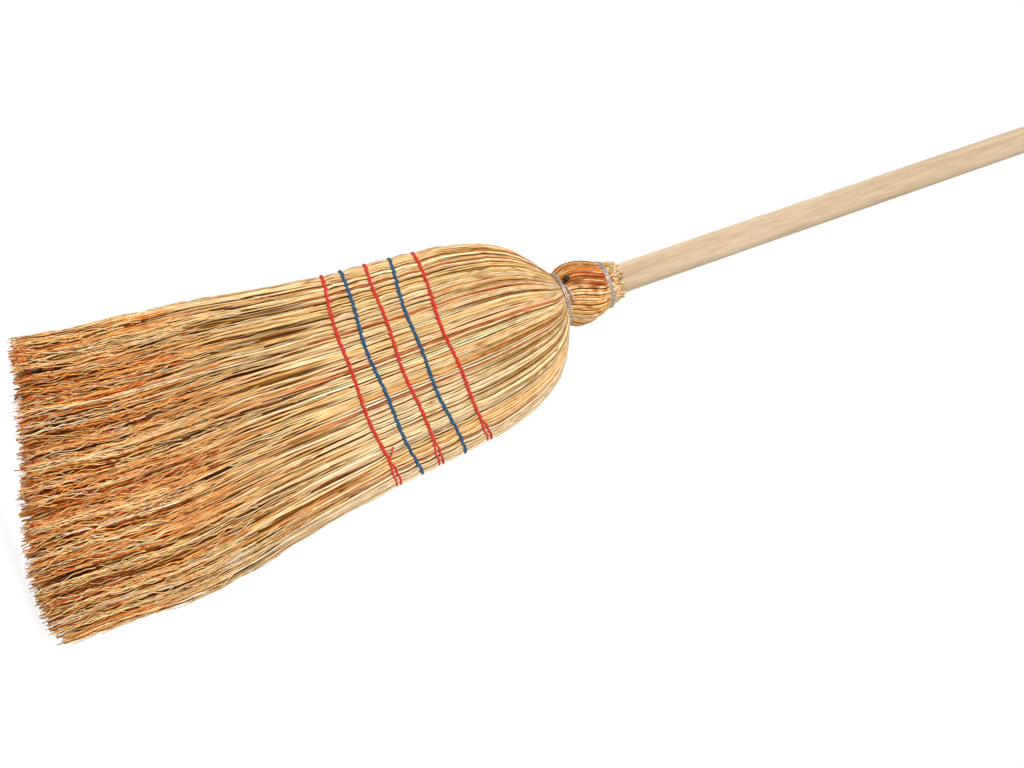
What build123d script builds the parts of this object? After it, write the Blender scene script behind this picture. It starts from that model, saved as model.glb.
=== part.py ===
from build123d import *
import os
from math import cos, pi, radians, sin, sqrt

# Straw broom: a turned wooden handle in a head of sorghum straw that is bound with wire and sewn flat
# with twine. +Z runs up the handle, the longest tips touch Z = 0 and the broad face looks along -Y.
# Left and right are as seen from the front. All sizes are in millimetres.

# Handle
handle_d = 28.0
overall_height = 1450.0
handle_in_head = 92.0  # from the neck down to the handle's lower end
point_d = 15.0  # the part inside the head tapers to this, and the core straw is packed round it
end_rounding = 11.0  # radius of the rounded top end

# Straw above the neck, round in section, at rises above the neck
neck_height = 497.0  # from the longest tips up to the neck wire
neck_d = 50.0
bulb_d = 60.0
bulb_rise = 18.0
collar_rise = 47.5
collar_d = 43.0
collar_end_rise = 64.0
collar_end_d = 35.0

# Straw below the neck: half-widths from the handle's axis, at drops below the neck
shoulder_drop = 95.0
shoulder_left = 80.0
shoulder_right = 95.5
shoulder_roundness = 2.8  # power of the shoulder's curve, 1 is a straight slope
shoulder_swell = 6.0  # how far the shoulder puffs out in front and behind
sewn_left = 86.0
sewn_right = 106.0
sewn_thickness = 38.0
tip_left = 121.0
tip_right = 129.0
tip_thickness = 50.0
right_roundness = 2.2  # power of the right edge's curve below the sewing, the left edge is straight
trim_slant = 12.0  # degrees, the tips are cut at a slant

# How the straw is laid on: a core round the handle's end, a shoulder bundle on each edge, and cover
# bunches side by side on the front and the back, with gaps between the bunches for the sewing
cover_thickness = 6.0
cover_bunches = 7  # on each face
shoulder_from = 0.70  # share of the half-width where the shoulder bundles start
bunch_gap = 2.4  # between two bunches below the shoulder, closing up towards the neck
bunch_crown = 1.2  # how far a bunch is rounded out between its gaps, at the shoulder
rim_parts = (0, 0.3, 0.6, 0.82, 0.95)  # shares of a shoulder bundle's width where its rounded rim has corners
lay = 0.2  # room between two layers of straw, and between straw and handle

# Wire
wire_d = 1.8
wire_turns = 2
wire_slack = 0.1  # between one turn and the next, and between wire and straw
loose_end_length = 14.0  # the neck wire's upper end stands off straight
loose_end_slope = 14.0  # degrees up from the turns
loose_end_turn = 20.0  # degrees to the left of the front, where the loose end leaves the turns

# Neck nail, driven through the straw into the handle just above the neck wire
nail_turn = 32.0  # degrees to the left of the front
nail_length = 25.0
nail_d = 2.0
nail_head_d = 6.0
nail_head_thickness = 1.4
nail_stands_out = 0.8

# Sewing, with each row's drop below the neck
seam_1_drop = 111.0
seam_2_drop = 136.0
seam_3_drop = 159.0
seam_4_drop = 181.0
seam_5_drop = 200.0
band_d = 2.4
band_runs = 32  # straight runs of twine in one band
stitch_d = 1.7
stitch_slack = 0.1  # between a stitch and the band that it laps

# Derived sizes
seam_drops = (seam_1_drop, seam_2_drop, seam_3_drop, seam_4_drop, seam_5_drop)
neck_r = neck_d / 2
handle_r = handle_d / 2
socket_r = handle_r + lay
crown_share = bunch_crown / shoulder_left
band_corner = band_d / 2 / cos(pi / 6)  # half the height of the band's six-sided section
corner_reach = 1 / cos(pi / band_runs)  # a band's corners lie this much further out than its runs
loop_height = 2 * (band_corner + stitch_slack)  # inside of a stitch
sewn_drop = seam_drops[-1] + loop_height / 2 + stitch_d  # where the straw starts to fan out
wire_pitch = wire_d + wire_slack
wound_height = wire_turns * wire_pitch
wire_seat = (wound_height + wire_d) / 2  # half the height of straw that a winding takes up
nail_rise = wire_seat + wire_slack + nail_head_d / 2
past_trim = tip_left + tip_right  # enough straw below the tips for the slanted cut


def round_level(rise, d, cover):
    """One level of the straw above the neck: height, left, right, half-thickness and cover thickness."""
    return neck_height + rise, d / 2, d / 2, d / 2, cover


def flat_level(drop, left, right, thickness):
    """One level of the straw below the neck."""
    return neck_height - drop, left, right, thickness / 2, cover_thickness


def shoulder_level(share):
    """The level at a share of the way from the neck wire to the shoulder's foot."""
    spread = 1 - (1 - share) ** shoulder_roundness
    left = neck_r + spread * (shoulder_left - neck_r)
    right = neck_r + spread * (shoulder_right - neck_r)
    taper = neck_d + share * (sewn_thickness - neck_d)
    drop = wire_seat + share * (shoulder_drop - wire_seat)
    return flat_level(drop, left, right, taper + 2 * shoulder_swell * sin(pi * share))


def skirt_level(share):
    """The level at a share of the way from the sewing to the tips."""
    left = sewn_left + share * (tip_left - sewn_left)
    right = tip_right - (1 - share) ** right_roundness * (tip_right - sewn_right)
    drop = sewn_drop + share * (neck_height - sewn_drop)
    return flat_level(drop, left, right, sewn_thickness + share * (tip_thickness - sewn_thickness))


def bulb_level(share, d_from, rise_from, cover_from):
    """The level at a share of a quarter turn from the bulb's widest place to one of its two ends."""
    d = d_from + (bulb_d - d_from) * cos(pi / 2 * share)
    rise = bulb_rise + (rise_from - bulb_rise) * sin(pi / 2 * share)
    return round_level(rise, d, cover_thickness + share * (cover_from - cover_thickness))


collar_cover = collar_d / 2 - socket_r
collar_levels = [
    round_level(collar_end_rise, collar_end_d, collar_end_d / 2 - socket_r),
    round_level(collar_rise + wire_seat, collar_d, collar_cover),
]
head_levels = [bulb_level(share, collar_d, collar_rise - wire_seat, collar_cover)
               for share in (1, 0.65, 0.3, 0)]
head_levels += [bulb_level(share, neck_d, wire_seat, cover_thickness) for share in (0.5, 1)]
head_levels += [shoulder_level(share) for share in (0, 0.07, 0.17, 0.32, 0.58, 1)]
head_levels += [skirt_level(share) for share in (0, 0.4, 1)]
head_levels.append(flat_level(neck_height + past_trim, tip_left, tip_right, tip_thickness))

# Shares of the half-width where two bunches meet, from left to right
gap_shares = [shoulder_from * (2 * i / cover_bunches - 1) for i in range(cover_bunches + 1)]

trim_plane = Plane(
    origin=(tip_right, 0, 0),
    x_dir=(cos(radians(trim_slant)), 0, -sin(radians(trim_slant))),
    z_dir=(sin(radians(trim_slant)), 0, cos(radians(trim_slant))),
)


def across(level, share):
    """X at a share of the half-width."""
    height, left, right, half_thick, cover = level
    return share * (left if share < 0 else right)


def half_depth(level, x):
    """How far the straw reaches in front of the middle plane at X, on the level's ellipse."""
    height, left, right, half_thick, cover = level
    from_middle = (x - (right - left) / 2) / ((left + right) / 2)
    return half_thick * sqrt(1 - from_middle**2)


def half_gap(level):
    """Half the gap between two bunches at this level."""
    height, left, right, half_thick, cover = level
    return bunch_gap / 2 * min(1, (left + right) / (shoulder_left + shoulder_right))


def crown(level):
    """How far the middle bunch is rounded out at this level. The other bunches have less of it."""
    height, left, right, half_thick, cover = level
    return crown_share * (left + right) / 2


def cover_bunch(share_from, share_to, facing):
    """A bunch of cover straw from the collar to the tips. facing is -1 on the front and 1 on the back."""
    with BuildPart() as bunch:
        for level in collar_levels + head_levels:
            cover = level[-1]
            x1 = across(level, share_from) + half_gap(level)
            x2 = across(level, share_to) - half_gap(level)
            middle = (x1 + x2) / 2
            y1 = facing * half_depth(level, x1)
            y2 = facing * half_depth(level, x2)
            crest = facing * half_depth(level, middle) * (1 + crown(level) / level[3])
            with BuildSketch(Plane.XY.offset(level[0])):
                with BuildLine():
                    face = Polyline((x1, y1), (middle, crest), (x2, y2))
                    Polyline(face @ 1, (x2, y2 - facing * cover), (x1, y1 - facing * cover), face @ 0)
                make_face()
        loft(ruled=True)
        split(bisect_by=trim_plane, keep=Keep.TOP)
        add(neck_nail.part, mode=Mode.SUBTRACT)
    return bunch.part


def core_bunch(share_from, share_to):
    """A bunch of core straw between the front and back covers, packed round the handle's lower end."""
    with BuildPart() as bunch:
        for level in head_levels:
            depth = level[-1] + lay
            x1 = across(level, share_from) + half_gap(level)
            x2 = across(level, share_to) - half_gap(level)
            y1 = half_depth(level, x1) - depth
            y2 = half_depth(level, x2) - depth
            with BuildSketch(Plane.XY.offset(level[0])):
                with BuildLine():
                    Polyline((x1, -y1), (x2, -y2), (x2, y2), (x1, y1), close=True)
                make_face()
        loft(ruled=True)
        split(bisect_by=trim_plane, keep=Keep.TOP)
        add(handle_form.part, mode=Mode.SUBTRACT)
        add(neck_nail.part, mode=Mode.SUBTRACT)
    return bunch.part


def shoulder_bundle(share):
    """The bundle on one edge of the head, from a share of the half-width out to the edge."""
    side = share / abs(share)
    with BuildPart() as bundle:
        for level in collar_levels + head_levels:
            height, left, right, half_thick, cover = level
            x = across(level, share) + side * half_gap(level)
            edge = across(level, side)
            rim = [(x + part * (edge - x), half_depth(level, x + part * (edge - x))) for part in rim_parts]
            with BuildSketch(Plane.XY.offset(height)):
                with BuildLine():
                    front = Polyline(*[(rim_x, -rim_y) for rim_x, rim_y in rim], (edge, 0))
                    Polyline(front @ 1, *reversed(rim), front @ 0)
                make_face()
        loft(ruled=True)
        split(bisect_by=trim_plane, keep=Keep.TOP)
        add(handle_form.part, mode=Mode.SUBTRACT)
    return bundle.part


def winding(radius, rise, loose_length):
    """A few turns of wire round the straw, centred at a rise above the neck, with a loose end or none."""
    with BuildPart() as wire:
        with BuildLine():
            turns = Helix(wire_pitch, wound_height, radius, (0, 0, neck_height + rise - wound_height / 2))
        with BuildSketch(Plane(origin=turns @ 0, x_dir=(0, 0, 1), z_dir=turns % 0)):
            RegularPolygon(wire_d / 2, 6)
        sweep(path=turns, is_frenet=True)
        if loose_length:
            with BuildSketch(Plane(origin=turns @ 1, x_dir=(0, 0, 1), z_dir=turns % 1)):
                RegularPolygon(wire_d / 2, 6)
            slope = radians(loose_end_slope)
            extrude(amount=loose_length, dir=(0, cos(slope), sin(slope)))
    return wire.part.rotate(Axis.Z, -90 - loose_end_turn)


def level_at(drop):
    """The head's level at any drop below the neck, between the levels that are set."""
    height = neck_height - drop
    for above, below in zip(head_levels, head_levels[1:]):
        if above[0] >= height >= below[0]:
            share = (above[0] - height) / (above[0] - below[0])
            return [a + share * (b - a) for a, b in zip(above, below)]
    raise ValueError("no straw at that drop")


def band_level(drop):
    """The ellipse that the middle of a sewing band follows, just outside the crowns of the bunches."""
    height, left, right, half_thick, cover = level_at(drop)
    stand_off = crown(level_at(drop)) + band_d / 2 + wire_slack
    return height, left + stand_off, right + stand_off, half_thick + stand_off, cover


def sewing_band(drop):
    """Twine round the flattened head at one drop, in short straight runs just outside the straw."""
    height, left, right, half_thick, cover = band_level(drop)
    corners = []
    for run in range(band_runs):
        turn = 2 * pi * (run + 0.5) / band_runs
        x = (right - left) / 2 + corner_reach * cos(turn) * (left + right) / 2
        corners.append((x, corner_reach * sin(turn) * half_thick, height))
    start = (corners[0][0], 0, height)  # the middle of the run at the right edge
    with BuildPart() as band:
        with BuildLine():
            loop = Polyline(start, *corners, close=True)
        with BuildSketch(Plane(origin=start, x_dir=(0, 0, 1), z_dir=(0, 1, 0))):
            RegularPolygon(band_d / 2, 6, major_radius=False)
        sweep(path=loop, transition=Transition.RIGHT)
    return band.part


def row_of_stitches(drop):
    """Loops of twine through the gaps between the bunches, each round the band on both faces."""
    level = level_at(drop)
    with BuildPart() as row:
        for share in gap_shares:
            x = across(level, share)
            thickest = max(half_depth(band_level(drop), x + side * stitch_d / 2) for side in (-1, 1))
            loop_depth = 2 * (corner_reach * thickest + band_d / 2 + stitch_slack)
            with BuildSketch(Plane.YZ.offset(x)):
                with Locations((0, level[0])):
                    loop = Rectangle(loop_depth + 2 * stitch_d, loop_height + 2 * stitch_d)
                    chamfer(loop.vertices(), stitch_d / 2)
                    Rectangle(loop_depth, loop_height, mode=Mode.SUBTRACT)
            extrude(amount=stitch_d / 2, both=True)
    return row.part


# Handle: turned, with a rounded top and a taper inside the head
handle_bottom = neck_height - handle_in_head
with BuildPart() as handle_form:
    with BuildSketch(Plane.XZ):
        with BuildLine():
            foot = Line((0, handle_bottom), (point_d / 2, handle_bottom))
            taper = Line(foot @ 1, (handle_r, neck_height + collar_end_rise + lay))
            Polyline(taper @ 1, (handle_r, overall_height), (0, overall_height), foot @ 0)
        make_face()
    revolve(axis=Axis.Z)
    fillet(handle_form.edges().filter_by(GeomType.CIRCLE).sort_by(Axis.Z)[-1], end_rounding)

# Neck nail, along its own axis towards the handle, with its head's top outside the bulb
nail_angle = radians(-90 - nail_turn)
nail_top = neck_r + (bulb_d / 2 - neck_r) * sin(pi / 2 * nail_rise / bulb_rise) + nail_stands_out
nail_plane = Plane(
    origin=(nail_top * cos(nail_angle), nail_top * sin(nail_angle), neck_height + nail_rise),
    x_dir=(0, 0, 1),
    z_dir=(-cos(nail_angle), -sin(nail_angle), 0),
)
with BuildPart() as neck_nail:
    with BuildSketch(nail_plane):
        Circle(nail_head_d / 2)
    extrude(amount=nail_head_thickness)
    with BuildSketch(nail_plane):
        Circle(nail_d / 2)
    extrude(amount=nail_length)

with BuildPart() as handle:
    add(handle_form.part)
    add(neck_nail.part, mode=Mode.SUBTRACT)

wire_stand_off = crown_share * neck_r + wire_slack + wire_d / 2
pieces = {
    "handle": handle.part,
    "neck_nail": neck_nail.part,
    "neck_wire": winding(neck_r + wire_stand_off, 0, loose_end_length),
    "collar_wire": winding(collar_d / 2 + wire_stand_off, collar_rise, 0),
    "shoulder_bundle_left": shoulder_bundle(gap_shares[0]),
    "shoulder_bundle_right": shoulder_bundle(gap_shares[-1]),
}
for number, (share_from, share_to) in enumerate(zip(gap_shares, gap_shares[1:]), 1):
    pieces[f"cover_front_{number}"] = cover_bunch(share_from, share_to, -1)
    pieces[f"cover_back_{number}"] = cover_bunch(share_from, share_to, 1)
    pieces[f"core_{number}"] = core_bunch(share_from, share_to)
for number, drop in enumerate(seam_drops, 1):
    pieces[f"seam_{number}_band"] = sewing_band(drop)
    pieces[f"seam_{number}_stitches"] = row_of_stitches(drop)

os.makedirs("parts", exist_ok=True)
for name, piece in pieces.items():
    piece.label = name
    export_step(piece, f"parts/{name}.step")
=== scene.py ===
import math

import bpy
import numpy as np
from mathutils import Matrix, Vector


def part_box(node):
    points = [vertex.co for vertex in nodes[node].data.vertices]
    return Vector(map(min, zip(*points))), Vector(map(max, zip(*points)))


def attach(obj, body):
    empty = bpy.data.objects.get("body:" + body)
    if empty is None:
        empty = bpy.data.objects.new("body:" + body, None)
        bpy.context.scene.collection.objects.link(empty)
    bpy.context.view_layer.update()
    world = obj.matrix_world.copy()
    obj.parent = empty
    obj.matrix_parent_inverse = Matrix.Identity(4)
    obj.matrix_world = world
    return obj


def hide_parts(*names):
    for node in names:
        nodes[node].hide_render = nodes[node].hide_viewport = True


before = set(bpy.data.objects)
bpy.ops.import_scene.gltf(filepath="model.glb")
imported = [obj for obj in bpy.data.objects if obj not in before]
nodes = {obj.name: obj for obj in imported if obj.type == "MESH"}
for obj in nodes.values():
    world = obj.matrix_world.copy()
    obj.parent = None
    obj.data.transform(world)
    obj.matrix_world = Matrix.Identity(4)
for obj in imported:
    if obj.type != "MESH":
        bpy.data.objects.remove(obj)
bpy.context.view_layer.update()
MM, METRE = 1000, 0.001  # from metres to millimetres, and back


def middle(name):
    """Height of the middle of a node of the frame, in millimetres."""
    low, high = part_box(name)
    return (low.z + high.z) / 2 * MM


# The straw is laid out in millimetres, with heights w measured up from the neck wire.
# A turn is an angle round the head: 0 at the right edge, a quarter turn at the back.
NECK = middle("neck_wire")
COLLAR = middle("collar_wire") - NECK
COLLAR_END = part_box("cover_front_1")[1].z * MM - NECK
HANDLE_R = (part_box("handle")[1].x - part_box("handle")[0].x) / 2 * MM
NAIL_TURN = math.atan2(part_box("neck_nail")[0].y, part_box("neck_nail")[0].x)
NAIL_W = middle("neck_nail") - NECK
SEAMS = [middle(f"seam_{i}_band") - NECK for i in range(1, 6)]
BUNCHES = 7  # on each face and in the core
SHOULDER_FROM = 0.70  # share of the half-width where the shoulder bundles start
TAU = 2 * math.pi
UP = np.array([0.0, 0.0, 1.0])
rng = np.random.default_rng(20261126)
skirt_rng = np.random.default_rng(20261127)  # for the stalks' light below the sewing alone

# The head below the neck: drop, half-width to the left and right of the axis, half-thickness.
# The widths are measured on the photo, and the thickness is guessed
HEAD = (
    (0, 24, 24, 24),
    (2.5, 24.2, 24.6, 24.2),
    (5, 27, 29.5, 25.2),
    (9, 33, 40.5, 26.4),
    (14, 40, 51.5, 27),
    (19, 46, 58.2, 27.5),
    (28, 55.3, 68.5, 28),
    (38, 62.3, 75.3, 28),
    (57, 71.3, 85, 26.6),
    (76, 76.4, 91.4, 23.6),
    (95, 80, 95.8, 21),
    (131, 82.5, 100.3, 19),
    (167, 84.5, 103.5, 18.6),
    (202, 86, 106.5, 18.6),
    (236, 89, 110.5, 19.2),
    (270, 93.5, 115.5, 20),
    (302, 98, 121, 20.8),
    (334, 100.5, 127, 21.6),
    (365, 102, 131, 22.4),
    (395, 103, 132, 23),
    (425, 106, 129.5, 23.6),
    (445, 109, 128, 24),
    (500, 113, 127, 25),
)
DROPS, LEFT, RIGHT, THICK = np.array(HEAD).T

# The bulb above the neck: rise and radius
RISES = [0, 2.5, 5, 8, 12, 16, 20, 25, 30, 35, 40, 45, 50, 55, 60, 70]
BULB_R = [24, 24.8, 26.6, 28.2, 29.2, 29.6, 29.6, 29, 27.8, 26.2, 24.2, 21.8, 20.4, 19.2, 17.6, 16]

# The slanting line of the trimmed tips, from left to right
TIP_X = [-115, -103, -79, -55, -31, -8, 4, 27, 50, 73, 97, 108, 120, 133]
TIP_W = [-448, -453, -456, -461, -467, -473, -478, -484, -489, -494, -496, -496, -494, -482]
TIP_MID, TIP_HALF = 6, 114  # middle and half of the head's width there, a little inside its edges
CORE_HALF = 110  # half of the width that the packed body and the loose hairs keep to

# Heights at which strands are spaced or measured
SEWN_W = -160.0  # in the sewing
SKIRT_W = -300.0  # below it
FIBRE_W = -380.0  # among the fibres
HUSK_W = -400.0  # among the husks
LAST_W = -470.0  # at the tips
SKIRT_TOP, SKIRT_FULL = -200, -250  # heights between which stalks take on their look below the sewing
FREE_W, LOOSE_W = -205, -330  # heights where stalks come free of the sewing, and where they hang loose

# How far each row of sewing lies above its level at the left edge, in the middle and at the right edge
ROWS = ((-3.6, -6.0, 3.2), (-2.3, -6.6, 3.6), (-0.6, -3.8, 4.0), (-0.4, -4.9, 5.7), (0.2, -6.2, 2.3))
SEAM_PULL, SEAM_REACH = 1.3, 5.0  # how deep a row pulls the straw in, and how far above and below it

NAIL_DENT, NAIL_REACH = 2.2, 4.5  # how deep the nail presses the straw in, and how far round it
NAIL_RADIUS = 27  # of the bulb at the nail
BULB_LEAN = 0.42  # the stalks wind round the bulb a little on their way up to the collar


# Shape of the head
def smooth(edge0, edge1, v):
    """Goes smoothly from 0 at the first edge to 1 at the second."""
    s = np.clip((v - edge0) / (edge1 - edge0), 0, 1)
    return s * s * (3 - 2 * s)


def section(w):
    """Middle and half of the head's width, and half of its thickness, at heights w."""
    bulb = np.interp(w, RISES, BULB_R)
    left, right, thick = (np.where(w > 0, bulb, np.interp(-w, DROPS, half)) for half in (LEFT, RIGHT, THICK))
    return (right - left) / 2, (left + right) / 2, thick


def seam_w(row, share):
    """Height of a row of sewing at a share of the half-width."""
    left, mid, right = ROWS[row]
    bow = mid + (right - left) / 2 * share + ((left + right) / 2 - mid) * share**2
    return SEAMS[row] + bow + np.sin(7 * share + 2.1 * row)


def on_head(turn, w, depth, dx=0.0, dy=0.0):
    """Points at turns round the head, at heights w and at depths under the surface."""
    mid, half, thick = section(w)
    pulled = np.zeros_like(w)
    for row in range(len(SEAMS)):
        pulled = pulled + SEAM_PULL * np.exp(-(((w - seam_w(row, np.cos(turn))) / SEAM_REACH) ** 2))
    depth = depth + pulled
    x = mid + (half - depth) * np.cos(turn) + dx
    y = (thick - depth) * np.sin(turn) + dy
    return np.stack([x, y, w], -1)


def outline(w):
    """Turns round the head, and the way along its outline up to each, at one height."""
    _, half, thick = section(np.array([w]))
    turn = np.linspace(0, TAU, 4001)
    steps = np.hypot(half * np.diff(np.cos(turn)), thick * np.diff(np.sin(turn)))
    return turn, np.concatenate([[0], np.cumsum(steps)])


def even_turns(count, w=SEWN_W):
    """Turns that are evenly spaced along the outline of the head at one height."""
    turn, run = outline(w)
    return np.interp((np.arange(count) + 0.5) / count * run[-1], run, turn)


def turns_between(given, spacing):
    """Turns that fill the outline between those given, about as far apart as the spacing."""
    turn, run = outline(SEWN_W)
    at = np.interp(np.sort(given), turn, run)
    at = np.append(at, at[0] + run[-1])
    filled = []
    for low, high in zip(at, at[1:]):
        steps = round((high - low) / spacing)
        for i in range(1, steps):
            filled.append(low + (high - low) * (i + rng.uniform(-0.25, 0.25)) / steps)
    return np.interp(np.array(filled) % run[-1], run, turn)


def room(turn, w):
    """How far apart two stalks are at height w for each turn between them."""
    _, half, thick = section(w)
    return np.hypot(half * np.sin(turn), thick * np.cos(turn))


def tip_w(x):
    """Height of the trimmed tips at x."""
    return np.interp(x, TIP_X, TIP_W)


def tip_at(share):
    """Height of the trimmed tips at a share of the half-width."""
    return tip_w(TIP_MID + TIP_HALF * share)


def tip_under(turn, reach=1.0):
    """Height of the trimmed tips under places at turns, with a reach of 1 at the surface."""
    mid, half, _ = section(np.full(len(turn), LAST_W))
    return tip_w(mid + half * np.cos(turn) * reach)


def run_down(start, end, points, power=1.0):
    """Shares of the way down each strand, and the heights there."""
    s = np.linspace(0, 1, points)[None, :] ** power
    return s, start[:, None] + s * (end - start)[:, None]


def spread(w):
    """How far the fibres have spread on their way down."""
    return smooth(-220, -450, w)


def face_share(turn):
    """1 in the middle of the front and back, and 0 at the edges."""
    return np.abs(np.sin(turn))[:, None]


def wander(count, w, waves):
    """Smooth sideways offsets for strands: waves is a list of (wavelength low, high, amplitude)."""
    out = np.zeros_like(w)
    for low, high, amplitude in waves:
        length = rng.uniform(low, high, (count, 1))
        phase = rng.uniform(0, TAU, (count, 1))
        out += rng.uniform(0.3, 1.0, (count, 1)) * amplitude * np.sin(TAU * w / length + phase)
    return out


# Colours of straw, as seen
PALE, BEIGE, GOLD = (250, 220, 174), (240, 203, 150), (238, 186, 112)
ORANGE, RUST, BROWN, GREEN = (222, 140, 66), (188, 80, 38), (152, 92, 44), (226, 204, 142)
PALETTE = np.array([PALE, BEIGE, GOLD, ORANGE, RUST, BROWN, GREEN], float) / 255

# Chances of the palette's colours, in its order
SEWN_MIX = (0.54, 0.28, 0.11, 0.02, 0.015, 0.015, 0.02)
PALE_MIX = (0.75, 0.25, 0, 0, 0, 0, 0)
RED_MIX = (0.32, 0.30, 0.24, 0.10, 0.03, 0.01, 0)
BLUSH_MIX = (0, 0, 0.1, 0.35, 0.45, 0.1, 0)
BULB_MIX = (0.30, 0.40, 0.26, 0.02, 0, 0.02, 0)
BULB_RED_MIX = (0, 0.02, 0.12, 0.06, 0.42, 0.38, 0)
TIP_MIX = (0.04, 0.15, 0.44, 0.23, 0.08, 0.06, 0)
CURL_MIX = (0.12, 0.42, 0.36, 0.10, 0, 0, 0)
HUSK_MIX = (0, 0, 0.05, 0.30, 0.50, 0.15, 0)
CUT_MIX = (0.40, 0.40, 0.12, 0.03, 0, 0.05, 0)
HAIR_MIX = (0.2, 0.35, 0.35, 0.1, 0, 0, 0)

# What is left of a colour in the layers below, which are shaded warm by the straw round them
DEEP = np.array([[0.32, 0.18, 0.075], [0.16, 0.075, 0.03], [0.12, 0.06, 0.025]])
SHADE = np.array([0.42, 0.30, 0.17])  # what is left of it between two stalks
GAP_SHADE = np.array([0.26, 0.14, 0.05])  # and in the gaps between clumps of fibres
EDGE_PALENESS = np.array([1.0, 1.1, 1.32])  # how much paler the straw at the right edge is


def linear(colour):
    """A colour as seen, from 0 to 1, as linear light."""
    return np.where(colour <= 0.04045, colour / 12.92, ((colour + 0.055) / 1.055) ** 2.4)


def blend(first, second, share):
    """A share of the second in the first."""
    return first * (1 - share) + second * share


def pick(count, chances):
    """Straw colours, each between two of the palette's."""
    p = np.array(chances, float)
    p /= p.sum()
    first = PALETTE[rng.choice(len(PALETTE), count, p=p)]
    second = PALETTE[rng.choice(len(PALETTE), count, p=p)]
    mixed = blend(first, second, rng.uniform(0, 0.45, (count, 1)))
    return linear(np.clip(mixed * rng.uniform(0.84, 1.12, (count, 1)), 0, 1))


def warm(light):
    """Shares of light for red, green and blue, so that darker straw is warmer and the mean stays."""
    shares = light ** np.array([0.9, 1.3, 1.9])
    return shares / shares.reshape(-1, 3).mean(0) * light.mean()


def speckle(colour, chance, strength):
    """Short rust-coloured blotches along strands."""
    n, points, _ = colour.shape
    rust = pick(n, BLUSH_MIX)[:, None, :] * rng.uniform(0.5, 1.0, (n, points, 1))
    share = (rng.random((n, points, 1)) < chance) * rng.uniform(0.3, 1.0, (n, points, 1)) * strength
    return blend(colour, rust, share)


def red_share(turn):
    """How much more rust-coloured straw there is: most on the left shoulder."""
    return 0.5 + 0.5 * np.cos(turn - math.pi * 0.93)


def pale_edge(turn):
    """Where the straw stays pale further down, at the right edge."""
    return smooth(0.72, 0.92, np.cos(turn))[:, None]


# Pieces of straw, one for each bunch of the frame
STREAKS, STREAK_GRAIN = (0.78, 1.28), 0.16  # light of the streaks along a strand's sides, and its grain
STREAK_LIMITS = (0.3, 1.5)
BRIGHTEST = 0.92  # that straw may be in red, green or blue


def add_piece(name, mesh, material, replaced):
    """Puts a mesh into the scene as a piece on the part's one body, in place of nodes of the frame."""
    mesh.materials.append(material)
    obj = bpy.data.objects.new(name, mesh)
    bpy.context.scene.collection.objects.link(obj)
    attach(obj, "root")
    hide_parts(*replaced)


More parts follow.
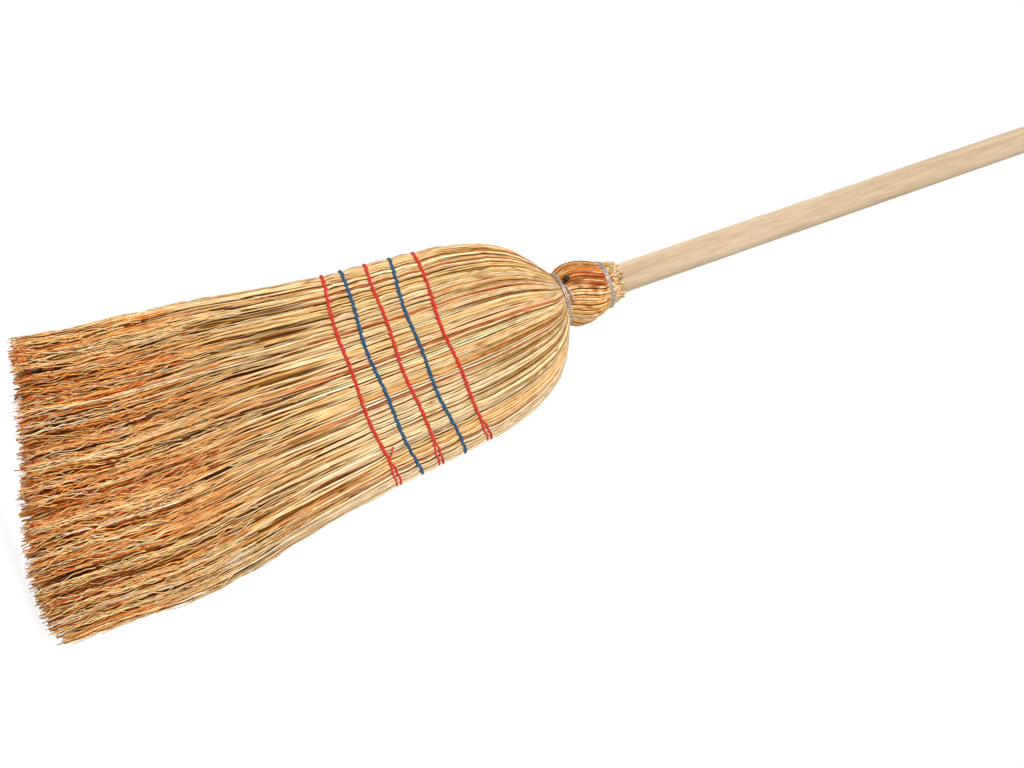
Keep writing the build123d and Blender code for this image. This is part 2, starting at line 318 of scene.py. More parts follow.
class Straw:
    """Tubes that are collected for one piece."""

    def __init__(self):
        self.points, self.faces, self.colours, self.uvs = [], [], [], []
        self.count = 0
        self.strands = 0

    def add(self, path, turn, radius, colour, sides, contrast):
        """Adds tubes along paths, with streaks of light and dark along their sides."""
        n, k, _ = path.shape
        tangent = np.gradient(path, axis=1)
        tangent /= np.linalg.norm(tangent, axis=2, keepdims=True) + 1e-9
        side = np.stack([-np.sin(turn), np.cos(turn), np.zeros(n)], -1)[:, None, :].repeat(k, 1)
        side -= (side * tangent).sum(-1, keepdims=True) * tangent
        side /= np.linalg.norm(side, axis=2, keepdims=True) + 1e-9
        out = np.cross(tangent, side)
        angle = np.arange(sides)[:, None] / sides * TAU
        ring = np.cos(angle) * out[:, :, None, :] + np.sin(angle) * side[:, :, None, :]
        tubes = path[:, :, None, :] + radius[:, :, None, None] * ring
        self.points.append(tubes.reshape(-1, 3))
        self.add_faces(n, k, sides)
        streak = rng.uniform(*STREAKS, (n, 1, sides, 1))
        streak = streak + STREAK_GRAIN * rng.standard_normal((n, k, sides, 1))
        tint = colour[:, :, None, :] * warm(np.clip(1 + (streak - 1) * contrast, *STREAK_LIMITS))
        tint = tint * np.minimum(1, BRIGHTEST / (tint.max(-1, keepdims=True) + 1e-9))
        self.colours.append(tint.reshape(-1, 3))
        column = np.broadcast_to((self.strands + np.arange(n))[:, None], (n, k))
        along = np.broadcast_to(np.linspace(0.01, 0.99, k), (n, k))
        self.uvs.append(np.repeat(np.stack([column, along], -1).reshape(-1, 2), sides, 0))
        self.count += n * k * sides
        self.strands += n

    def add_faces(self, n, k, sides):
        """Walls and two ends for tubes whose points come next."""
        base = self.count + np.arange(n)[:, None, None] * k * sides
        ring = base + np.arange(k - 1)[None, :, None] * sides
        j = np.arange(sides)[None, None, :]
        j2 = (j + 1) % sides
        walls = np.stack([ring + j, ring + j2, ring + sides + j2, ring + sides + j], -1)
        self.faces.append((4, walls.reshape(-1, 4)))
        first = base[:, :, 0] + np.arange(sides)[None, ::-1]
        last = base[:, :, 0] + (k - 1) * sides + np.arange(sides)[None, :]
        self.faces.append((sides, np.concatenate([first, last])))

    def piece(self, name, material, slot, replaced):
        """Makes the collected tubes into one piece, with a column of the UV map for each strand."""
        points = np.concatenate(self.points)
        points = np.column_stack([points[:, 0], points[:, 1], points[:, 2] + NECK]) * METRE
        points[:, 2] = np.maximum(points[:, 2], 0.0)
        colour = np.concatenate(self.colours)
        uv = np.concatenate(self.uvs)
        uv[:, 0] = (uv[:, 0] + 0.5) / self.strands
        loops = np.concatenate([corners.reshape(-1) for _, corners in self.faces])
        sizes = np.concatenate([np.full(len(corners), size) for size, corners in self.faces])
        starts = np.concatenate([[0], np.cumsum(sizes)[:-1]])
        mesh = bpy.data.meshes.new(name)
        mesh.vertices.add(len(points))
        mesh.vertices.foreach_set("co", points.reshape(-1))
        mesh.loops.add(len(loops))
        mesh.loops.foreach_set("vertex_index", loops.astype(np.int32))
        mesh.polygons.add(len(sizes))
        mesh.polygons.foreach_set("loop_start", starts.astype(np.int32))
        mesh.polygons.foreach_set("use_smooth", np.ones(len(sizes), bool))
        tint = mesh.color_attributes.new("straw_colour", "FLOAT_COLOR", "POINT")
        tint.data.foreach_set("color", np.column_stack([colour, np.ones(len(colour))]).reshape(-1))
        layer = mesh.uv_layers.new(name="OFBake")
        layer.data.foreach_set("uv", uv[loops].reshape(-1))
        mesh.update()
        mesh.validate()
        add_piece(name, mesh, material, replaced)


bunches = {"shoulder_bundle_left": Straw(), "shoulder_bundle_right": Straw()}
for i in range(1, BUNCHES + 1):
    bunches[f"cover_front_{i}"] = Straw()
    bunches[f"cover_back_{i}"] = Straw()
    bunches[f"core_{i}"] = Straw()


def bunch_names(turn, inside):
    """The bunch that a strand at each turn belongs to."""
    share = np.cos(turn) / SHOULDER_FROM
    number = np.clip(np.floor((share + 1) / 2 * BUNCHES).astype(int) + 1, 1, BUNCHES)
    names = []
    for at, which, angle in zip(share, number, turn):
        if inside:
            names.append(f"core_{which}")
        elif abs(at) > 1:
            names.append("shoulder_bundle_right" if at > 0 else "shoulder_bundle_left")
        else:
            names.append(f"cover_{'front' if math.sin(angle) < 0 else 'back'}_{which}")
    return np.array(names)


def lay(path, turn, radius, colour, sides, inside=False, contrast=1.0):
    """Adds strands to the pieces of the bunches that they belong to."""
    names = bunch_names(turn, inside)
    for name in np.unique(names):
        here = names == name
        bunches[name].add(path[here], turn[here], radius[here], colour[here], sides, contrast)


# Stalks, from the collar or the neck down to where they split
SHY_HIGH, SHY_LOW = 0.27, 0.5  # shares of the stalks that lie back above and below the sewing's end
SHY_DEPTH = 0.5  # how far back they lie
RED_CHANCE = 0.75  # of redder colours, where the redness is full
EDGE_FROM, EDGE_CHANCE = 0.9, 0.85  # share of the half-width beyond which stalks are pale, and how many are
BLUSH_CHANCE = 0.2  # of a rust-coloured stretch


def gather(turn):
    """Sideways offsets that bring stalks below the sewing together in twos and threes."""
    around, run = outline(SKIRT_W)
    at = np.interp(turn % TAU, around, run)
    offset = np.zeros_like(at)
    for length, amount, phase in ((6.7, 0.5, 0.3), (9.4, 0.6, 1.9), (14.3, 0.7, 4.1)):
        offset = offset + amount * np.sin(TAU * at / length + phase)
    return offset[:, None]


def never_two(count, chance):
    """Stalks picked by chance, but never two side by side."""
    picked = rng.random(count) < chance
    return (picked & ~np.roll(picked, 1))[:, None]


def stalk_path(turn, w, depth_neck, depth):
    """The way of each stalk, and how far it lies back in the shade of the two beside it."""
    n = len(turn)
    face = face_share(turn)
    loose = 0.5 * smooth(-20, -90, w) + 0.7 * smooth(FREE_W, LOOSE_W, w)
    dx = wander(n, w, [(90, 180, 1.0), (36, 70, 0.45), (14, 26, 0.10)]) * loose
    dx = dx + rng.normal(0, 0.45, (n, 1)) * smooth(-10, LOOSE_W, w) * face
    dx = dx + gather(turn) * face * smooth(FREE_W, -290, w)
    sunk = depth_neck + (depth - depth_neck) * smooth(-5, -60, w)
    sunk = sunk + rng.uniform(-0.35, 0.35, (n, 1)) * smooth(0, -40, w)
    sunk = sunk - 0.9 * rng.uniform(-0.6, 1, (n, 1)) * smooth(-215, LOOSE_W, w)
    shy = never_two(n, SHY_HIGH) * (0.2 + 0.8 * smooth(-135, -60, w)) * smooth(SKIRT_FULL, SKIRT_TOP, w)
    low_chance = SHY_LOW * (1 - smooth(0.82, 0.96, np.cos(turn)))
    shy = shy + never_two(n, low_chance) * smooth(SKIRT_TOP, SKIRT_FULL, w)
    lean = BULB_LEAN * smooth(-4, COLLAR, w)
    off = (turn[:, None] + lean - NAIL_TURN + math.pi) % TAU - math.pi
    near = np.exp(-((off * NAIL_RADIUS / NAIL_REACH) ** 2) - ((w - NAIL_W) / NAIL_REACH) ** 2)
    return on_head(turn[:, None] + lean, w, sunk + SHY_DEPTH * shy + NAIL_DENT * near, dx), shy


def stalk_radius(turn, s, w, r_low, r_high, least):
    """Radii that are smaller where the stalks crowd at the neck, but not below a least share."""
    n = len(turn)
    radius = rng.uniform(r_low, r_high, (n, 1))
    crowd = room(turn[:, None], np.minimum(w, 0)) / room(turn[:, None], np.array([[SEWN_W]]))
    crowd = np.clip(crowd, least, 1.4)
    scale = crowd + (1 - crowd) * smooth(-60, -160, w)
    taper = (1 - 0.5 * smooth(-250, -400, w)) * (1 - 0.7 * smooth(0.8, 1.0, s))
    return radius * scale * taper * (1 + wander(n, w, [(50, 120, 0.14), (20, 45, 0.06)]))


def stalk_colour(turn, w, mix, shy):
    """Colours along stalks: redder on the left, rusty towards the tips, paler at the right edge."""
    n = len(turn)
    redness = red_share(turn)
    red = rng.random(n) < RED_CHANCE * redness**2
    colour = np.where(red[:, None], pick(n, RED_MIX), pick(n, mix))
    edge = (np.cos(turn) > EDGE_FROM) & (rng.random(n) < EDGE_CHANCE)
    colour = np.where(edge[:, None], pick(n, PALE_MIX), colour)[:, None, :]
    blush = np.exp(-(((w - rng.uniform(-260, 0, (n, 1))) / rng.uniform(12, 50, (n, 1))) ** 2))
    blush = blush * rng.uniform(0, 0.6, (n, 1)) * (rng.random((n, 1)) < BLUSH_CHANCE)
    colour = blend(colour, pick(n, BLUSH_MIX)[:, None, :], blush[:, :, None])
    blotches = (0.05 + 0.45 * redness**2)[:, None] * (0.2 + 0.8 * smooth(-130, -30, w))
    colour = speckle(colour, blotches[:, :, None], strength=0.75)
    pale = pale_edge(turn)
    tipward = smooth(-230 - 110 * pale, -400 - 60 * pale, w)[:, :, None]
    colour = blend(colour, pick(n, TIP_MIX)[:, None, :], tipward)
    skirt = smooth(SKIRT_TOP, SKIRT_FULL, w)[:, :, None]
    # Painted shade on the stalks just under the neck wire
    shade_under_wire = smooth(-32, -3, w)[:, :, None]
    light = 1 + (0.28 - 0.33 * redness[:, None, None]) * skirt - 0.25 * shade_under_wire
    light = light * (1 + (EDGE_PALENESS - 1) * pale[:, :, None] * skirt)
    own_light = warm(skirt_rng.uniform(0.4, 1.55, (n, 1)))[:, None, :]
    light = light * (1 + (own_light - 1) * skirt)
    return colour * light * (1 - shy[:, :, None] * (1 - SHADE ** (1 + skirt)))


def stalks(turn, start, end, points, depths, radii, mix, least):
    """Paths, radii and colours of stalks from start down to end."""
    s, w = run_down(start, end, points, power=1.5)
    path, shy = stalk_path(turn, w, *depths)
    radius = stalk_radius(turn, s, w, *radii, least)
    return path, radius, stalk_colour(turn, w, mix, shy)


def bulb_stalks(n=68):
    """Stalks that run on over the bulb to the cut ends at the collar. Returns their turns."""
    turn = (np.arange(n) + rng.uniform(-0.3, 0.3, n)) / n * TAU
    start = COLLAR + rng.uniform(4.0, 7.0, n)
    end = rng.uniform(-400, -290, n)
    path, radius, colour = stalks(
        turn, start, end, points=80, depths=(1.1, 0.2), radii=(0.95, 1.25), mix=SEWN_MIX, least=1.0
    )
    w = path[:, :, 2]
    radius = radius * (1 + 0.1 * smooth(2, 10, w) * smooth(38, 22, w))
    red = wander(n, w, [(25, 80, 0.8), (8, 20, 0.4)]) + (red_share(turn)[:, None] - 0.43) * 1.5
    red = 0.95 * smooth(-0.2, 0.5, red)[:, :, None]
    pale_colour = pick(n, BULB_MIX)[:, None, :] * 1.28
    red_colour = pick(n, BULB_RED_MIX)[:, None, :] * 0.9
    bulb_colour = speckle(blend(pale_colour, red_colour, red), chance=0.15, strength=0.6)
    colour = blend(bulb_colour, colour, smooth(6, -14, w)[:, :, None])
    lay(path, turn, radius, colour, sides=6)
    return turn


def outer_stalks(bulb_turn):
    """Stalks that come out from under the neck wire, and two darker layers beneath."""
    layers = (
        (turns_between(bulb_turn, 2.05), (1.2, 0.3), (0.75, 1.25), np.ones(3), 46, 6),
        (even_turns(170), (2.2, 1.8), (0.75, 1.2), DEEP[0], 38, 5),
        (even_turns(190), (3.4, 3.6), (0.9, 1.3), DEEP[1], 32, 4),
    )
    for turn, depths, radii, shade, points, sides in layers:
        start = rng.uniform(0.5, 2.5, len(turn))
        end = rng.uniform(-400, -280, len(turn))
        path, radius, colour = stalks(turn, start, end, points, depths, radii, mix=SEWN_MIX, least=0.6)
        lay(path, turn, radius, colour * shade, sides)


def bulb_lining(n=70):
    """Darker stalks under the ones over the bulb."""
    turn = (np.arange(n) + 0.5) / n * TAU
    start = np.full(n, COLLAR + 2.0)
    end = np.full(n, -2.0)
    path, radius, colour = stalks(
        turn, start, end, points=18, depths=(2.6, 2.6), radii=(1.2, 1.5), mix=BULB_MIX, least=1.0
    )
    lay(path, turn, radius, colour * DEEP[1], sides=5)


# Fibres, from below the sewing to the tips
FULL_CHANCE = 0.75  # of a fibre that reaches the trimmed tips
STRAY_CHANCE = 0.22  # of one that strays from its clump
BRIGHT_CHANCE = 0.38  # of one that stays bright to its end, less where the straw is redder


def clump_gaps(count=60):
    """Dark gaps between clumps near the tips: (share of the half-width, height, width, length, in front)."""
    share = rng.uniform(-0.97, 0.97, count)
    w = tip_at(share) + 170 * rng.uniform(0, 1, count) ** 1.2
    wide = rng.uniform(0.007, 0.016, count)
    long = rng.uniform(12, 36, count)
    return list(zip(share, w, wide, long, np.arange(count) % 2 == 0))


def in_gap(gaps, path, turn):
    """How far each point of each strand lies in a gap."""
    w = path[:, :, 2]
    mid, half, _ = section(w)
    share = (path[:, :, 0] - mid) / half
    front = np.sin(turn)[:, None] < 0
    dark = np.zeros_like(w)
    for at, height, wide, long, ahead in gaps:
        here = np.exp(-(((share - at) / wide) ** 2) - ((w - height) / long) ** 2)
        dark = np.maximum(dark, here * (front == ahead))
    return dark


def fibre_colour(turn, w, end, clumps, each, shade):
    """Colours along fibres, with a tone for each clump and each fibre, and lit at the cut tips."""
    n = len(turn)
    redness = red_share(turn)[:, None]
    tone = np.repeat(rng.uniform(0.6, 1.5, (clumps, 1)), each, 0) * (1.12 - 0.24 * redness)
    tone = warm(tone * rng.uniform(0.6, 1.45, (n, 1)))
    bright = rng.random((n, 1)) < BRIGHT_CHANCE - 0.2 * redness
    pale = pale_edge(turn)
    top = np.where(rng.random((n, 1)) < pale, pick(n, PALE_MIX), pick(n, SEWN_MIX)) * tone
    top = top * (1 + (EDGE_PALENESS - 1) * pale)
    low = np.where(bright, pick(n, SEWN_MIX) * np.maximum(tone, 1.0), pick(n, TIP_MIX) * tone)
    tipward = smooth(-260 - 90 * pale, -370 - 70 * pale, w)[:, :, None]
    lit = smooth(14, 2, w - end[:, None])[:, :, None]
    colour = blend(top[:, None, :], low[:, None, :], tipward) * blend(shade, 1.0, lit)
    return speckle(colour, chance=0.42 * tipward, strength=0.9)


def clumped_fibres(gaps, clumps, each, depths, radii, shade, points):
    """A layer of fibres that the stalks split into below the sewing, in clumps."""
    base = even_turns(clumps, FIBRE_W) + rng.uniform(-0.5, 0.5, clumps) * TAU / clumps
    turn = np.repeat(base, each)
    n = len(turn)
    start = np.repeat(rng.uniform(-375, -285, clumps), each) + rng.uniform(-40, 25, n)
    full = rng.random(n) < FULL_CHANCE
    end = tip_under(turn) + np.where(full, rng.uniform(0, 9, n), rng.uniform(5, 45, n))
    s, w = run_down(start, end, points, power=0.8)
    wide = spread(w)
    face = face_share(turn)
    clump_dx = np.repeat(rng.normal(0, 3.0, clumps), each)[:, None] * wide * face
    stray = np.where(rng.random((n, 1)) < STRAY_CHANCE, 4.0, 0.9)
    own_dx = rng.normal(0, 1, (n, 1)) * stray * wide * (0.25 + 0.75 * face)
    bend = wander(n, w, [(60, 130, 1.4)]) * (0.2 + 0.8 * wide)
    crinkle = wander(n, w, [(20, 42, 1.0), (10, 18, 0.6)]) * smooth(-310, -460, w)
    dx = clump_dx + own_dx + (bend + crinkle) * (0.6 + 0.4 * face)
    depth = rng.uniform(*depths, (n, 1))
    depth = depth + np.repeat(rng.uniform(-1.2, 1.2, clumps), each)[:, None] * wide
    dy = wander(n, w, [(40, 90, 0.9), (10, 20, 0.3)]) * wide
    dark = in_gap(gaps, on_head(turn[:, None], w, depth, dx, dy), turn)
    path = on_head(turn[:, None], w, depth - 1.2 * wide + 2.5 * dark, dx, dy)
    radius = rng.uniform(*radii, (n, 1)) * (0.55 + 0.45 * smooth(0, 0.12, s)) * (1 - 0.35 * s)
    colour = fibre_colour(turn, w, end, clumps, each, shade)
    colour = colour * (1 - dark[:, :, None] * (1 - GAP_SHADE))
    lay(path, turn, radius, colour, sides=4, contrast=1.8)


def thin_fibres(n=420):
    """Thin fibres split off the stalks."""
    turn = even_turns(n, SKIRT_W) + rng.uniform(-0.5, 0.5, n) * TAU / n
    start = rng.uniform(-290, -206, n)
    end = rng.uniform(-430, -330, n)
    s, w = run_down(start, end, points=24)
    dx = wander(n, w, [(70, 150, 1.4), (24, 50, 0.4)]) * smooth(0, 0.4, s)
    path = on_head(turn[:, None], w, rng.uniform(-0.6, 1.6, (n, 1)), dx)
    colour = blend(pick(n, SEWN_MIX)[:, None, :], pick(n, TIP_MIX)[:, None, :], s[:, :, None])
    lay(path, turn, rng.uniform(0.28, 0.55, (n, 1)), colour, sides=4)


def curled_fibres(n=560):
    """Thin pale fibres that curl over the others."""
    turn = rng.uniform(0, TAU, n)
    turn = np.where(rng.random(n) < 0.8, even_turns(n, FIBRE_W), turn)
    start = rng.uniform(-455, -300, n)
    end = np.maximum(start - rng.uniform(30, 110, n), tip_at(np.cos(turn)) + rng.uniform(0, 12, n))
    s, w = run_down(start, end, points=34)
    free = smooth(0, 0.25, s)
    dx = wander(n, w, [(30, 70, 2.6), (15, 28, 1.2), (8, 13, 0.3)]) + rng.normal(0, 5.0, (n, 1)) * s
    dx = dx * free * (0.3 + 0.7 * face_share(turn))
    path = on_head(turn[:, None], w, -0.9 - 0.9 * free * rng.uniform(0, 1.4, (n, 1)), dx)
    colour = pick(n, CURL_MIX)[:, None, :] * 1.4
    lay(path, turn, rng.uniform(0.3, 0.55, (n, 1)) * (1 - 0.4 * s), colour, sides=4)


def husks(gaps, streaks=330, each=12):
    """Rust-coloured husks of the seeds, in streaks along the fibres."""
    n = streaks * each
    places = even_turns(2000, HUSK_W)
    chance = 0.35 + red_share(places) ** 2
    turn = np.repeat(rng.choice(places, streaks, p=chance / chance.sum()), each)
    mid = np.repeat(rng.uniform(-475, -345, streaks), each) + rng.normal(0, 20, n)
    mid = np.maximum(mid, tip_at(np.cos(turn)) + rng.uniform(3, 14, n))
    swell = np.array([[0.4, 1.0, 0.9, 0.3]])
    s = np.linspace(0, 1, swell.size)[None, :]
    w = mid[:, None] + (0.5 - s) * rng.uniform(2.5, 7.0, (n, 1))
    face = face_share(turn)
    dx = (rng.normal(0, 1.3, (n, 1)) + rng.normal(0, 0.5, (n, 1)) * s) * face
    depth = 0.8 + (rng.uniform(-2.5, -0.2, (n, 1)) - 1.2 * spread(w)) * face
    path = on_head(turn[:, None], w, depth, dx)
    # Husks that lie in the gaps between clumps are darkened with painted shade
    colour = pick(n, HUSK_MIX)[:, None, :] * (1 - 0.8 * in_gap(gaps, path, turn)[:, :, None])
    lay(path, turn, rng.uniform(0.35, 0.65, (n, 1)) * swell, colour, sides=3)


def core_fibres(n=1500):
    """Fibres all through the head near the tips, dark up to their ends."""
    turn = rng.uniform(0, TAU, n)
    reach = np.sqrt(rng.uniform(0, 0.85, n))
    end = tip_under(turn, reach) + rng.uniform(1, 16, n)
    s, w = run_down(np.full(n, -335.0), end, points=12)
    mid, half, thick = section(w)
    wide = smooth(-300, -460, w)
    dx = wander(n, w, [(50, 110, 1.6), (14, 30, 0.4)]) * wide
    dy = wander(n, w, [(50, 110, 1.2)]) * wide
    x = mid + half * (np.cos(turn) * reach)[:, None] + dx
    y = thick * (np.sin(turn) * reach)[:, None] * 0.96 + dy
    radius = rng.uniform(0.5, 0.9, (n, 1))
    shade = DEEP[1] + (1 - DEEP[1]) * smooth(0.88, 0.99, s)[:, :, None]
    colour = pick(n, TIP_MIX)[:, None, :] * shade
    side_turn = np.arccos(np.clip(np.cos(turn) * reach, -1, 1))
    lay(np.stack([x, y, w], -1), side_turn, radius, colour, sides=4, inside=True)


def packed_body():
    """The dark body of the head, as thick stalks side by side deep inside."""
    for depth, count in ((4.8, 150), (8.5, 110), (13.0, 70)):
        turn = even_turns(count)
        foot = np.maximum(-445, tip_w(CORE_HALF * np.cos(turn)) + 28)
        _, w = run_down(np.full(count, 2.0), foot, points=30, power=1.8)
        radius = 2.1 * (1 + 0.6 * smooth(-60, -400, w))
        colour = pick(count, SEWN_MIX)[:, None, :] * DEEP[2]
        lay(on_head(turn[:, None], w, depth), turn, radius, colour, sides=5, inside=True)


def cut_ends(n=520):
    """Short stubs at the collar that end one above the other on the way in to the handle."""
    turn = rng.uniform(0, TAU, n)
    end = COLLAR + 2.2 + (COLLAR_END - COLLAR - 1.8) * rng.uniform(0, 1, n)
    inmost = HANDLE_R + 1.2
    r_end = np.maximum(np.interp(end, RISES, BULB_R) + rng.uniform(-0.9, 0.5, n), inmost)[:, None]
    r_start = np.maximum(r_end - rng.uniform(0.5, 3.5, (n, 1)), inmost)
    light = np.linspace(0.42, 0.92, 5)[None, :, None]
    s = np.linspace(0, 1, light.size)[None, :]
    r = r_start + (r_end - r_start) * s
    w = end[:, None] - rng.uniform(7, 10, (n, 1)) * (1 - s)
    angle = turn[:, None] + rng.normal(0, 0.05, (n, 1)) * s
    path = np.stack([r * np.cos(angle), r * np.sin(angle), w], -1)
    colour = pick(n, CUT_MIX)[:, None, :] * light
    lay(path, turn, rng.uniform(0.65, 1.15, (n, 1)), colour, sides=6)


def loose_hairs(n=190):
    """Hairs that stand off the straw, more of them in front."""
    turn = np.where(rng.random(n) < 0.6, 1.5, 0.5) * math.pi + rng.uniform(-1.15, 1.15, n)
    start = rng.uniform(-430, -225, n)
    length = rng.uniform(25, 95, n)
    s = np.linspace(0, 1, 14)[None, :]
    w = np.maximum(start[:, None] - s * length[:, None], (tip_w(CORE_HALF * np.cos(turn)) + 2)[:, None])
    lift = np.sin(math.pi * s * rng.uniform(0.5, 1.0, (n, 1))) * rng.uniform(0.8, 4.2, (n, 1))
    sweep = rng.normal(0, 5, (n, 1)) * face_share(turn) * s**1.5
    curl = np.sin(s * TAU * rng.uniform(0.3, 1.1, (n, 1))) * rng.normal(0, 2.2, (n, 1))
    path = on_head(turn[:, None], w, -0.8 - lift, sweep + curl)
    colour = pick(n, HAIR_MIX)[:, None, :]
    lay(path, turn, rng.uniform(0.22, 0.42, (n, 1)) * (1 - 0.5 * s), colour, sides=4)


# The head is laid in this order, which the random draws follow
outer_stalks(bulb_stalks())
bulb_lining()
all_gaps = clump_gaps()
for clumps, each, depths, radii, shade, points in (
    (130, 4, (-0.8, 1.2), (0.38, 0.78), np.full(3, 1.9), 46),
    (170, 4, (1.6, 4.0), (0.5, 0.95), DEEP[0], 28),
    (230, 3, (4.4, 7.5), (0.5, 0.95), DEEP[1], 18),
):
    clumped_fibres(all_gaps, clumps, each, depths, radii, shade, points)
thin_fibres()
curled_fibres()
husks(all_gaps)
core_fibres()
packed_body()
cut_ends()
loose_hairs()


# Materials
def as_seen(colour):
    """Linear light of a colour given from 0 to 255."""
    return linear(np.array(colour) / 255)


def new_material(name):
    """A material, its node tree and its shader."""
    made = bpy.data.materials.new(name)
    made.use_nodes = True
    return made, made.node_tree, made.node_tree.nodes["Principled BSDF"]


def set_inputs(made, **values):
    """Sets inputs of a node, whose names are given with _ for each space."""
    for name, value in values.items():
        made.inputs[name.replace("_", " ")].default_value = value


def node(tree, kind, **values):
    """A new node with inputs that are set."""
    made = tree.nodes.new(kind)
    set_inputs(made, **values)
    return made


def noise(tree, stretch=None, **values):
    """Noise over an object's own coordinates, which may be scaled along each axis."""
    made = node(tree, "ShaderNodeTexNoise", **values)
    place = tree.nodes.new("ShaderNodeTexCoord").outputs["Object"]
    if stretch:
        mapping = node(tree, "ShaderNodeMapping", Scale=stretch)
        tree.links.new(place, mapping.inputs["Vector"])
        place = mapping.outputs["Vector"]
    tree.links.new(place, made.inputs["Vector"])
    return made.outputs["Fac"]


def ramp(tree, factor, *stops):
    """Colours along a factor, from stops of a position and a linear colour."""
    made = tree.nodes.new("ShaderNodeValToRGB")
    elements = made.color_ramp.elements
    while len(elements) < len(stops):
        elements.new(0.5)
    for element, (position, colour) in zip(elements, stops):
        element.position = position
        element.color = (*colour, 1)
    tree.links.new(factor, made.inputs["Fac"])
    return made.outputs["Color"]


def map_range(tree, value, source, target):
    """Values of a source range moved to a target range."""
    made = node(
        tree, "ShaderNodeMapRange", From_Min=source[0], From_Max=source[1], To_Min=target[0], To_Max=target[1]
    )
    tree.links.new(value, made.inputs["Value"])
    return made.outputs["Result"]


def multiply(tree, colour, light):
    """A colour made lighter or darker."""
    made = tree.nodes.new("ShaderNodeVectorMath")
    made.operation = "MULTIPLY"
    tree.links.new(colour, made.inputs[0])
    tree.links.new(light, made.inputs[1])
    return made.outputs["Vector"]


def bump(tree, shader, height, strength, distance):
    """Fine relief on a shader, with its distance in metres."""
    made = node(tree, "ShaderNodeBump", Strength=strength, Distance=distance)
    tree.links.new(height, made.inputs["Height"])
    tree.links.new(made.outputs["Normal"], shader.inputs["Normal"])


def straw_material(name, roughness):
    """The strands' own colours with fine grain along them."""
    made, tree, shader = new_material(name)
    tint = tree.nodes.new("ShaderNodeAttribute")
    tint.attribute_name = "straw_colour"
    grain = noise(tree, (900, 900, 60), Scale=1.0, Detail=4.0, Roughness=0.6)
    light = map_range(tree, grain, source=(0.3, 0.7), target=(0.78, 1.14))
    tree.links.new(multiply(tree, tint.outputs["Color"], light), shader.inputs["Base Color"])
    set_inputs(shader, Roughness=roughness, Specular_IOR_Level=0.08)
    bump(tree, shader, grain, strength=0.2, distance=0.0002)
    return made


def twine_material(name, dark, pale):
    """Fuzzy dyed twine."""
    made, tree, shader = new_material(name)
    fuzz = noise(tree, Scale=900.0, Detail=3.0)
    tint = ramp(tree, fuzz, (0.3, as_seen(dark)), (0.72, as_seen(pale)))
    tree.links.new(tint, shader.inputs["Base Color"])
    set_inputs(shader, Roughness=0.85, Sheen_Weight=0.15)
    bump(tree, shader, fuzz, strength=0.5, distance=0.0004)
    return made


def metal_material(name, colour, roughness, metallic, spotted):
    """Metal with spots that are lighter, darker and duller."""
    made, tree, shader = new_material(name)
    spots = noise(tree, Scale=420.0, Detail=4.0)
    base = as_seen(colour)
    tint = ramp(tree, spots, (0.35, base * (1 - spotted)), (0.7, np.clip(base * (1 + spotted), 0, 1)))
    rough = map_range(tree, spots, source=(0, 1), target=(roughness - 0.1, roughness + 0.15))
    tree.links.new(tint, shader.inputs["Base Color"])
    tree.links.new(rough, shader.inputs["Roughness"])
    set_inputs(shader, Metallic=metallic)
    bump(tree, shader, spots, strength=0.15, distance=0.0002)
    return made


def wood_material(name):
    """Pale sanded wood with long fine grain."""
    made, tree, shader = new_material(name)
    figure = noise(tree, (95, 95, 5.0), Scale=1.0, Detail=5.0, Roughness=0.55, Distortion=0.6)
    pores = noise(tree, (750, 750, 40), Scale=1.0, Detail=3.0, Roughness=0.6)
    tint = ramp(
        tree,
        figure,
        (0.28, as_seen((199, 171, 136))),
        (0.45, as_seen((215, 191, 160))),
        (0.6, as_seen((221, 199, 170))),
        (0.78, as_seen((227, 209, 184))),
    )
    dark = map_range(tree, pores, source=(0.3, 0.55), target=(0.8, 1.0))
    tree.links.new(multiply(tree, tint, dark), shader.inputs["Base Color"])
    set_inputs(shader, Roughness=0.6, Diffuse_Roughness=1.0, Specular_IOR_Level=0.1)
    bump(tree, shader, pores, strength=0.2, distance=0.0003)
    return made


straw = straw_material("straw", roughness=0.5)
core = straw_material("core_straw", roughness=0.8)
twine = {
    "red": twine_material("twine_red", dark=(172, 30, 18), pale=(218, 60, 40)),
    "blue": twine_material("twine_blue", dark=(20, 54, 90), pale=(40, 98, 128)),
}
zinc = metal_material("galvanised_wire", (184, 178, 168), roughness=0.4, metallic=0.75, spotted=0.25)
iron = metal_material("nail_steel", (52, 42, 36), roughness=0.6, metallic=0.6, spotted=0.4)
wood = wood_material("handle_wood")

for name, tubes in bunches.items():
    inside = name.startswith("core")
    tubes.piece("straw_" + name, core if inside else straw, "core_straw" if inside else "straw", [name])

for name, material in (("neck_nail", iron), ("handle", wood)):
    nodes[name].data.materials.clear()
    nodes[name].data.materials.append(material)


# Twine and wire
SIDES = 8  # of a tube of twine or wire


def tube_faces(base, points, closed):
    """Walls of one tube whose points start at base, and its two ends if it isn't closed to a ring."""
    faces = []
    for i in range(points if closed else points - 1):
        this = base + i * SIDES
        that = base + (i + 1) % points * SIDES
        for j in range(SIDES):
            j2 = (j + 1) % SIDES
            faces.append((this + j, this + j2, that + j2, that + j))
    if not closed:
        last = base + (points - 1) * SIDES
        faces.append(tuple(range(base + SIDES - 1, base - 1, -1)))
        faces.append(tuple(range(last, last + SIDES)))
    return faces


